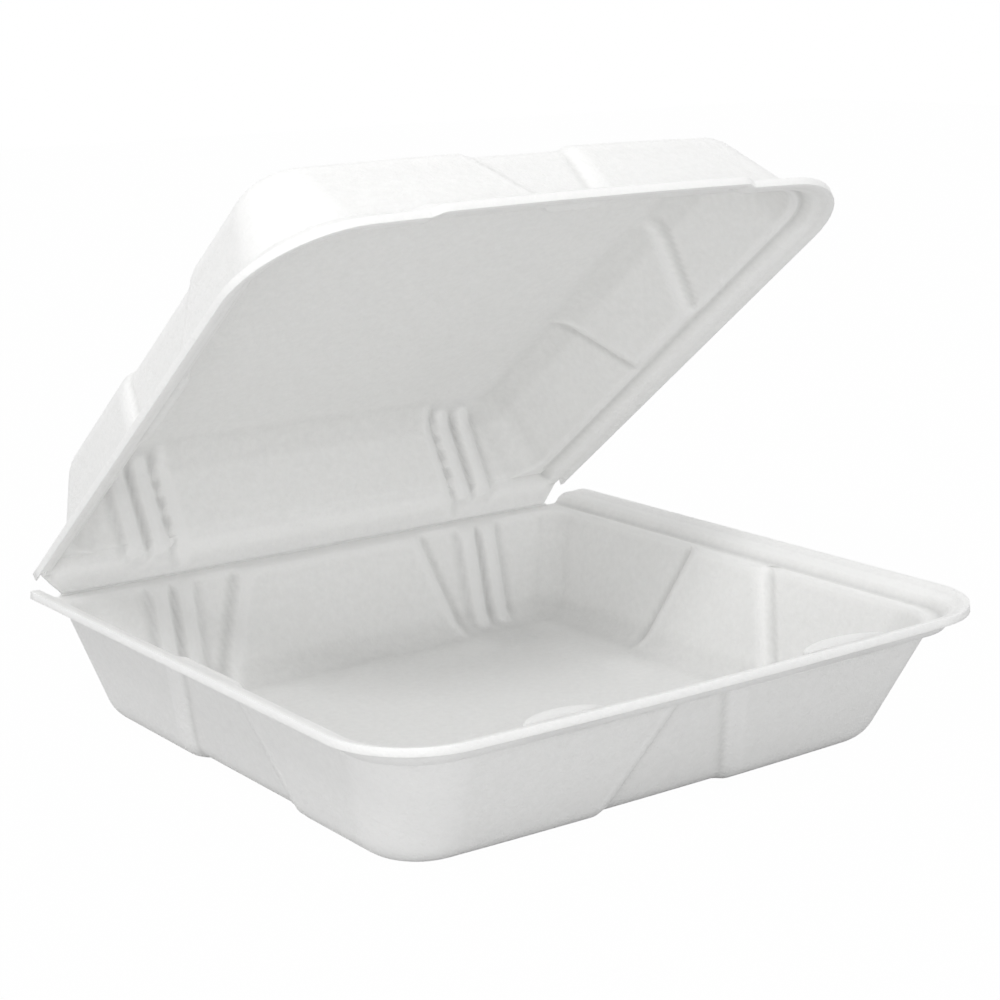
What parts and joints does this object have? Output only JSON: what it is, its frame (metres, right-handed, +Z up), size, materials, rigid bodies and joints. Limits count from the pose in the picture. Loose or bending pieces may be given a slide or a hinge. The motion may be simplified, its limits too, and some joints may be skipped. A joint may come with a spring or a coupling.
{
  "type": "hinged foam food box",
  "caption": "Square white foam food box: a tray and a domed lid joined by a crushed fold, standing open, with pressed wall panels and a tongue-and-slot lock.",
  "frame": {"origin": "centre of the tray's underside, midway between the rim's front edge and the fold", "axes": "+Z up out of the tray, X along the fold, -Y to the front with the locks, +Y to the fold"},
  "size_m": [0.236, 0.2465, 0.196],
  "materials": {
    "foam_base": "satin foam skin",
    "foam_lid": "satin foam skin"
  },
  "bodies": {
    "tray": {"base": "foam_base"},
    "cover": {"lid": "foam_lid"}
  },
  "joints": [
    {"name": "lid_fold", "type": "hinge", "parent": "tray", "child": "cover", "pos_m": [0, 0.115, 0.0422], "axis": [-1, 0, 0], "range_deg": [-37.5, 136]}
  ]
}
